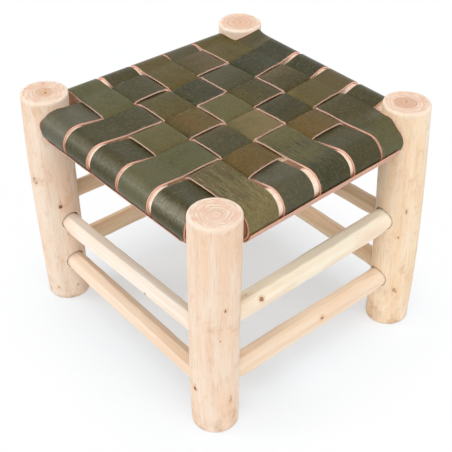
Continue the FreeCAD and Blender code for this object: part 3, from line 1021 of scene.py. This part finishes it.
def leather_band(name, middle, length, width, thickness, materials):
    # a leather band from the middle surface of its thickness, which may differ across it: grain side,
    # flesh side and cut edges
    rows, columns, _ = middle.shape
    run = np.gradient(middle, axis=0)
    side = np.gradient(middle, axis=1)
    normal = np.cross(run, side)
    normal = normal / np.linalg.norm(normal, axis=2, keepdims=True)
    side = side / np.linalg.norm(side, axis=2, keepdims=True)
    grain = middle + normal * thickness / 2
    flesh = middle - normal * thickness / 2
    for face in (grain, flesh):
        face[:, 0] += side[:, 0] * edge_ease
        face[:, -1] -= side[:, -1] * edge_ease
    eased = normal * (thickness / 2 - edge_ease)
    last_edge = np.stack([middle[:, -1] + eased[:, -1], middle[:, -1] - eased[:, -1]], axis=1)
    first_edge = np.stack([middle[:, 0] - eased[:, 0], middle[:, 0] + eased[:, 0]], axis=1)
    loops = np.concatenate([grain, last_edge, flesh[:, ::-1], first_edge], axis=1)
    across = np.linspace(0.0, width, columns)
    loop_across = np.concatenate([across, [width] * 2, across[::-1], [0.0] * 2])
    around = loops.shape[1]
    kinds = [0] * columns + [1] * 2 + [2] * (columns - 1) + [1] * 2 + [0]
    faces, face_materials = [], []
    for row in range(rows - 1):
        here, there = row * around, (row + 1) * around
        for corner in range(around):
            after = (corner + 1) % around
            faces.append((here + corner, there + corner, there + after, here + after))
            face_materials.append(kinds[corner])
    for base, flip in ((0, False), ((rows - 1) * around, True)):
        caps = []
        for column in range(columns - 1):
            opposite = 2 * columns + 1 - column
            caps.append((column, column + 1, opposite - 1, opposite))
        caps.append((columns - 1, columns, columns + 1, columns + 2))
        caps.append((0, 2 * columns + 1, 2 * columns + 2, 2 * columns + 3))
        for cap in caps:
            corners = [base + corner for corner in cap]
            faces.append(tuple(reversed(corners)) if flip else tuple(corners))
            face_materials.append(1)
    made = made_object(name, loops.reshape(-1, 3), faces, face_materials, materials)
    made.data.set_sharp_from_angle(angle=crisp_angle)
    spots = np.zeros((rows, around, 3))
    spots[:, :, 0] = loop_across
    spots[:, :, 1] = np.clip(weave_level - loops[:, :, 2], 0.0, None)
    spots[:, :, 2] = np.linspace(0.0, length, rows)[:, None]
    keep_places(made, "leather_place", spots)
    return made


tones = {
    "slate_green": colour(97, 94, 78),
    "slate": colour(84, 80, 61),
    "dark_slate": colour(52, 51, 29),
    "deep_green": colour(71, 66, 41),
    "umber": colour(58, 56, 31),
    "brown_olive": colour(90, 76, 33),
    "green": colour(96, 93, 65),
    "olive_green": colour(90, 88, 56),
    "olive": colour(93, 77, 46),
    "moss": colour(99, 91, 54),
    "light_olive": colour(122, 105, 66),
    "tobacco": colour(103, 79, 34),
    "dark_olive": colour(69, 60, 24),
}
# dye tones met along each strap, from the wrap at one end over five crossings to the other end
tone_places = (-172 * mm, -98 * mm, -48 * mm, 4 * mm, 54 * mm, 102 * mm, 172 * mm)
strap_tones = {
    "lengthwise_1": "slate_green slate deep_green deep_green olive olive slate",
    "lengthwise_2": "deep_green deep_green deep_green dark_slate dark_slate dark_slate dark_slate",
    "lengthwise_3": "deep_green umber tobacco brown_olive dark_olive deep_green deep_green",
    "lengthwise_4": "green olive_green olive_green light_olive light_olive brown_olive olive",
    "lengthwise_5": "deep_green umber tobacco tobacco tobacco umber deep_green",
    "crosswise_1": "olive_green olive_green moss moss olive olive light_olive",
    "crosswise_2": "deep_green deep_green brown_olive olive deep_green slate slate",
    "crosswise_3": "olive brown_olive moss moss moss moss deep_green",
    "crosswise_4": "slate slate deep_green deep_green dark_olive deep_green deep_green",
    "crosswise_5": "brown_olive brown_olive olive dark_olive dark_olive dark_olive green",
}
# wrinkled stretches: where each begins and ends along its strap, from the seat's middle, and its kind
strap_wrinkles = {
    "lengthwise_3": (112 * mm, 200 * mm, "pebbles"),
    "crosswise_1": (30 * mm, 200 * mm, "veins"),
    "crosswise_3": (88 * mm, 200 * mm, "streaks"),
    "crosswise_4": (12 * mm, 68 * mm, "pebbles"),
}
wrinkle_fade = 16 * mm
dye_deep = colour(42, 44, 25)
dye_rubbed = colour(110, 106, 70)
wear_and_sheen_grey = colour(146, 142, 126)
painted_sheen_grey = colour(152, 145, 126)
vein_pale = colour(152, 150, 106)
vein_deep = colour(38, 52, 46)
edge_pared = colour(216, 166, 146)
tone_sway = 16 * mm
worn_and_sheen_edge = (2.6 * mm, 0.3 * mm)
pared_fade = 0.6 * mm
# wrinkles by kind: their tone, the value they follow, its limits and how strong they are
wrinkle_kinds = {
    "pebbles": (dye_deep, "cells", 0.16, 0.02, 0.0, 0.80),
    "veins": (vein_pale, "folds", 0.036, 0.003, 0.0, 0.55),
    "streaks": (vein_deep, "folds", 0.036, 0.003, 0.0, 0.85),
}
# how strong a painted sheen each strap gets where it bends over the rail, and how far over the bend that lies
painted_bend_sheens = {
    "lengthwise_1": 0.25, "lengthwise_2": 0.36, "lengthwise_3": 0.36, "lengthwise_4": 0.28,
    "lengthwise_5": 0.85,
}
other_bend_sheen = 0.04
least_sheen_share = 0.35
bend_turn = math.radians(42)
bend_rise = (-10 * mm, -1 * mm)
bend_fall = (13 * mm, 1 * mm)


def cells(tree, place, scale, feature):
    inputs = {"Vector": place, "Scale": scale, "Randomness": 1.0}
    return add(tree, "TexVoronoi", inputs, feature=feature).outputs["Distance"]


def dyed_leather(name, seed, stops, length, width, wrinkles=None, bend=None, pared=None):
    # green-dyed grain leather: tone drifting along the strap, clouds, pores, wrinkles, edges worn pale with a
    # painted sheen, and a painted sheen where the strap bends over the rail
    material, tree, place = new_material(name, "leather_place")
    split = add(tree, "SeparateXYZ", {0: place})
    across, along = split.outputs[0], split.outputs[2]
    values = noises(
        tree, place, seed, drift=(24, 24, 0.0, 3.0), cloud=(52, 34, 1.1, 5.0, 0.62),
        thin=(40, 26, 2.3, 4.0, 0.6), mottle=(420, 240, 3.1, 5.0, 0.7), rub=(120, 120, 5.9, 3.0),
    )
    values["pores"] = cells(tree, place, scale=1000.0, feature="F1")
    values["middle"] = sums(tree, "SUBTRACT", along, length / 2)
    values["travel"] = swayed(tree, values["middle"], values["drift"], span=0.25, amount=tone_sway)
    layers = [(tone, "travel", here, there, 1.0) for (here, _), (there, tone) in zip(stops, stops[1:])]
    layers += [
        (dye_deep, "cloud", 0.45, 0.78, 0.36),
        (tones["tobacco"], "thin", 0.54, 0.78, 0.30),
        (dye_rubbed, "mottle", 0.47, 0.70, 0.50),
        (dye_deep, "mottle", 0.48, 0.30, 0.50),
        (dye_deep, "pores", 0.55, 0.15, 0.20),
    ]
    reliefs = [("pores", 0.20, 0.3), ("mottle", 0.30, 0.6)]
    # painted sheen: a pale grey band, streaked along the strap, where it bends over the rail
    if bend:
        bend_place, bend_sheen = bend
        values["away"] = sums(tree, "SUBTRACT", sums(tree, "ABSOLUTE", values["middle"]), bend_place)
        band = shared(tree, values, ("away", *bend_rise), ("away", *bend_fall))
        streak = noise(tree, place, seed, across=620, along=70, step=6.7, rough=0.65)
        streak = between(tree, streak, 0.30, 0.70, least_sheen_share * bend_sheen, bend_sheen)
        values["painted_sheen"] = sums(tree, "MULTIPLY", band, streak)
        layers.append((painted_sheen_grey, "painted_sheen"))
    if wrinkles:
        begin, stop, kind = wrinkles
        tone, value, *limits = wrinkle_kinds[kind]
        if value == "cells":
            values[value] = cells(tree, place, scale=270.0, feature="DISTANCE_TO_EDGE")
        else:
            fold = noise(tree, place, seed, across=420, along=26, step=4.7, detail=3.0, twist=0.7)
            values[value] = apart(tree, fold, 0.5)
        line = between(tree, values[value], *limits)
        ends = (("middle", begin, begin + wrinkle_fade), ("middle", stop, stop - wrinkle_fade))
        values["wrinkle"] = sums(tree, "MULTIPLY", line, shared(tree, values, *ends))
        layers.append((tone, "wrinkle"))
        reliefs.append(("wrinkle", -0.35, 0.7))
    # a grey band along both edges: wear, and partly a painted sheen where the leather turns down at its edges
    values["side"] = apart(tree, across, width / 2)
    edge = ("side", *[width / 2 - depth for depth in worn_and_sheen_edge])
    values["worn"] = shared(tree, values, edge, ("rub", 0.50, 0.72, 0.0, 0.45))
    layers.append((wear_and_sheen_grey, "worn"))
    if pared:
        pared_edge, pared_width = pared
        values["paring"] = apart(tree, across, pared_edge)
        layers.append((edge_pared, "paring", pared_width, pared_width - pared_fade, 1.0))
    finish(tree, values, stops[0][1], layers, ("cloud", 0.3, 0.7, 0.28, 0.36), reliefs, specular=0.12)
    return material


edge_pink = colour(247, 208, 192)
edge_salmon = colour(239, 190, 169)
edge_fibre = colour(221, 162, 138)
edge_shade_orange = colour(226, 160, 126)
shade_drop = (2 * mm, 16 * mm)


def raw_edge(name):
    # the cut edge: undyed salmon-pink fibre, a little darker in stripes, and more orange down the wraps as
    # painted shade and bounced light
    material, tree, place = new_material(name, "leather_place")
    values = noises(tree, place, seed=1.0, fibre=(700, 300, 0.0, 3.0), patch=(60, 60, 1.0, 3.0))
    values["drop"] = add(tree, "SeparateXYZ", {0: place}).outputs[1]
    layers = [
        (edge_salmon, "patch", 0.3, 0.7, 1.0),
        # painted shade and bounced light: deeper orange as the edge goes down round the rail
        (edge_shade_orange, "drop", *shade_drop, 0.75),
        (edge_fibre, "fibre", 0.48, 0.75, 0.40),
    ]
    reliefs = [("fibre", 0.4, 0.3)]
    finish(tree, values, edge_pink, layers, ("patch", 0.3, 0.7, 0.80, 0.88), reliefs, specular=0.15)
    return material


flesh_tan = colour(250, 230, 208)
flesh_brown = colour(243, 216, 190)
flesh_deep = colour(222, 188, 158)


def flesh_side(name):
    # the underside: undyed suede with a short nap
    material, tree, place = new_material(name, "leather_place")
    values = noises(tree, place, seed=1.0, nap=(800, 800, 0.0, 4.0, 0.7), patch=(30, 30, 3.0))
    layers = [(flesh_brown, "patch", 0.3, 0.7, 1.0), (flesh_deep, "nap", 0.45, 0.8, 0.4)]
    gloss = ("patch", 0.3, 0.7, 0.88, 0.95)
    finish(tree, values, flesh_tan, layers, gloss, [("nap", 0.6, 0.6)], specular=0.1, sheen=0.2)
    return material


cut_edge = raw_edge("leather_cut_edge")
suede = flesh_side("leather_flesh_side")
strap_seed_step = 3.3
for way, straps, seed in (("lengthwise", lengthwise, 5.0), ("crosswise", crosswise, 25.0)):
    for index, (surface, length, tail) in enumerate(straps):
        strap = way + "_" + str(index + 1)
        points = surface[:, ::-1, [1, 0, 2]] if way == "lengthwise" else surface
        width = np.linalg.norm(np.diff(points[strap_rows // 2], axis=0), axis=1).sum()
        stops = [(spot, tones[tone]) for spot, tone in zip(tone_places, strap_tones[strap].split())]
        # the middle of the painted sheen on each bend, along the strap
        bend_place = length / 2 - tail - strap_radius * (math.pi - bend_turn)
        bend = (bend_place, painted_bend_sheens.get(strap, other_bend_sheen))
        leather = dyed_leather(
            "dyed_leather_" + strap, seed + strap_seed_step * index, stops, length, width,
            strap_wrinkles.get(strap), bend,
        )
        finishes = [leather, cut_edge, suede]
        band = leather_band("leather_strap_" + strap, points, length, width, strap_thickness, finishes)
        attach(band, "root")
        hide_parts("strap_" + strap)

# Binding strips: a leather band tacked along the underside of each rail over the straps' tails. Its outer
# half bends up round the wraps, where its pared raw edge shows as a pink line. Its inner half is flat.
strip_flat_width = 18 * mm
strip_flat_columns = 7
strip_arc_columns = 12
strip_row_step = 3 * mm
strip_inside = strap_radius + strap_gap + strap_thickness / 2
# by side: turn of the outer edge at both ends, width and thickness of its paring, how far it stands off
strip_sides = {
    "front": ((58, 60), 4.0 * mm, 1.0 * mm, 0.0 * mm),
    "right": ((78, 81), 12.0 * mm, 1.3 * mm, 1.0 * mm),
    "back": ((54, 54), 3.0 * mm, 1.6 * mm, 0.6 * mm),
    "left": ((54, 54), 3.0 * mm, 1.6 * mm, 0.6 * mm),
}
paring_share = 0.4
proud_power = 3
proud_share = 0.8
proud_wander = 0.2
proud_pitches = (26, 61)
edge_wander = 0.012
edge_pitch = 34
strip_shape_seed = 500
strip_dye_seed = 70.0
strip_dye_step = 3.0
strip_tones = ("deep_green", "dark_olive", "umber", "dark_olive", "deep_green")
for index, side in enumerate(rail_sides):
    strip_turns, pared_width, pared_thickness, proud = strip_sides[side]
    start, end, _ = rail_lines[side]
    run = 0 if side in ("front", "back") else 1
    outward = np.zeros(3)
    outward[1 - run] = math.copysign(1.0, (start + end)[1 - run])
    low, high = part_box("binding_strip_" + side)
    length = high[run] - low[run]
    shares = np.concatenate([np.zeros(strip_flat_columns), np.linspace(0.0, 1.0, strip_arc_columns)])
    paring = np.clip(shares / paring_share, 0.0, 1.0)
    thicknesses = strap_thickness + (pared_thickness - strap_thickness) * paring
    start_turn, end_turn = [math.radians(turn) for turn in strip_turns]
    draw = random.Random(strip_shape_seed + index)
    sways = [draw.uniform(0, full_turn) for _ in range(3)]
    rows = []
    for place in np.arange(low[run], high[run] + strip_row_step / 2, strip_row_step):
        centre = start + (end - start) * (place - start[run]) / (end[run] - start[run])
        swells = [math.sin(pitch * place + sway) for pitch, sway in zip(proud_pitches, sways)]
        lift = proud_share + proud_wander * swells[0] * swells[1]
        strip_turn = start_turn + (end_turn - start_turn) * (place - low[run]) / length
        strip_turn += edge_wander * math.sin(edge_pitch * place + sways[2])
        row = []
        for reach in np.linspace(-strip_flat_width, 0.0, strip_flat_columns, endpoint=False):
            row.append(centre + outward * reach - up * (strip_inside + strap_thickness / 2))
        for share, thickness in zip(shares[strip_flat_columns:], thicknesses[strip_flat_columns:]):
            turn = share * strip_turn
            reach = strip_inside + thickness / 2 + share**proud_power * proud * lift
            row.append(centre + outward * reach * math.sin(turn) - up * reach * math.cos(turn))
        rows.append(row)
    middle = np.array(rows)
    width = strip_flat_width + strip_turn * strip_inside
    outer_edge = width
    if np.cross(middle[1, 0] - middle[0, 0], middle[0, 1] - middle[0, 0])[2] > 0:
        middle = middle[:, ::-1]
        thicknesses = thicknesses[::-1]
        outer_edge = 0.0
    spots = np.linspace(-length, length, len(strip_tones)) / 2
    stops = [(spot, tones[tone]) for spot, tone in zip(spots, strip_tones)]
    seed = strip_dye_seed + strip_dye_step * index
    pared = (outer_edge, pared_width)
    leather = dyed_leather("dyed_leather_strip_" + side, seed, stops, length, width, pared=pared)
    finishes = [leather, cut_edge, suede]
    band = leather_band("leather_strip_" + side, middle, length, width, thicknesses[:, None], finishes)
    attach(band, "root")
    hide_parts("binding_strip_" + side)

# Tacks: short steel upholstery tacks with low domed heads, driven up through strip, strap and rail.
# Their heads are dulled and a little tarnished, and they only show from underneath.
steel_bright = colour(128, 124, 116)
steel_tarnish = colour(88, 82, 74)


def tack_steel(name):
    # dull steel with scuffs and patches of tarnish
    material = bpy.data.materials.new(name)
    tree = blank_nodes(material)
    place = add(tree, "TexCoord").outputs["Object"]
    values = noises(tree, place, seed=3.0, scuff=(400, 400, 0.0, 4.0, 0.6), tarnish=(120, 120, 2.0, 3.0))
    layers = [(steel_tarnish, "tarnish", 0.35, 0.65, 1.0)]
    gloss = ("scuff", 0.3, 0.7, 0.30, 0.52)
    reliefs = [("scuff", 0.15, 0.2)]
    finish(tree, values, steel_bright, layers, gloss, reliefs, specular=0.5, metallic=1.0)
    return material


steel = tack_steel("tack_steel_worn")
for side in rail_sides:
    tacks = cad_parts["tacks_" + side]
    tacks.data.materials.clear()
    tacks.data.materials.append(steel)

# Studio: a white floor, a softbox on each side of the camera, a wide one behind it and one overhead, and
# the camera above the front right leg. The floor looks nearly white but keeps the stool's soft shadow.
pure_white = (1.0, 1.0, 1.0, 1.0)
floor_paint = (0.87, 0.935, 1.0, 1.0)
floor_reach = 6.0
floor_corners = [(-1, -1), (1, -1), (1, 1), (-1, 1)]
glow_in_shadow = 0.38
glow_in_open = 0.97
shadow_inner = 125 * mm
shadow_outer = 275 * mm
corner_power = 4
floor_mesh = bpy.data.meshes.new("studio_floor")
floor_points = [(x * floor_reach, y * floor_reach, 0.0) for x, y in floor_corners]
floor_mesh.from_pydata(floor_points, [], [tuple(range(len(floor_points)))])
floor = linked("studio_floor", floor_mesh)
floor_material = bpy.data.materials.new("floor_white")
tree = blank_nodes(floor_material)


def seen_directly(tree):
    # one where a ray comes straight from the camera, a mirror or glass, and zero for other light
    path = add(tree, "LightPath")
    mirrored = sums(tree, "MAXIMUM", path.outputs["Is Glossy Ray"], path.outputs["Is Transmission Ray"])
    return sums(tree, "MAXIMUM", path.outputs["Is Camera Ray"], mirrored)


paint = add(tree, "BsdfDiffuse", {"Color": floor_paint})
glow = add(tree, "Emission", {"Color": pure_white, "Strength": 1.0})
split = add(tree, "SeparateXYZ", {0: add(tree, "TexCoord").outputs["Object"]})
sides = [sums(tree, "ABSOLUTE", split.outputs[way]) for way in (0, 1)]
powers = [sums(tree, "POWER", side, corner_power) for side in sides]
outside = sums(tree, "POWER", sums(tree, "ADD", *powers), 1 / corner_power)
glow_share = between(tree, outside, shadow_inner, shadow_outer, glow_in_shadow, glow_in_open)
glowing = sums(tree, "MULTIPLY", seen_directly(tree), glow_share)
lit = add(tree, "MixShader", {0: glowing, 1: paint.outputs[0], 2: glow.outputs[0]})
add(tree, "OutputMaterial", {0: lit.outputs[0]})
floor_mesh.materials.append(floor_material)

world_strength = 0.45
world = bpy.data.worlds.new("studio")
bpy.context.scene.world = world
tree = blank_nodes(world)
soft = add(tree, "Background", {"Color": pure_white, "Strength": world_strength})
white = add(tree, "Background", {"Color": pure_white, "Strength": 1.0})
mixed = add(tree, "MixShader", {0: seen_directly(tree), 1: soft.outputs[0], 2: white.outputs[0]})
add(tree, "OutputWorld", {0: mixed.outputs[0]})

# each softbox: its strength, its spread in degrees and the way its light goes
softboxes = {
    "top_softbox": (0.40, 60, (0.15, -0.35, -1.0)),
    "left_softbox": (0.95, 17, (0.62, 0.73, -0.42)),
    "right_softbox": (0.45, 40, (-0.90, -0.20, -0.62)),
    "front_softbox": (1.20, 70, (-0.56, 0.48, -0.80)),
}
for name, (strength, spread, direction) in softboxes.items():
    lamp = bpy.data.lights.new(name, "SUN")
    lamp.energy = strength
    lamp.angle = math.radians(spread)
    linked(name, lamp).rotation_euler = Vector(direction).to_track_quat("-Z", "Y").to_euler()

photo_pixels = 452
focal_pixels = 1007.53
sensor_width = 36.0
camera_place = Vector((0.7637, -0.6478, 0.8758))
camera_back = Vector((0.6093, -0.5154, 0.6026))
camera_data = bpy.data.cameras.new("camera")
camera_data.sensor_width = sensor_width
camera_data.lens = sensor_width * focal_pixels / photo_pixels
camera = linked("camera", camera_data)
camera.location = camera_place
camera.rotation_euler = (-camera_back).to_track_quat("-Z", "Y").to_euler()
bpy.context.scene.camera = camera
bpy.context.scene.view_settings.view_transform = "Standard"
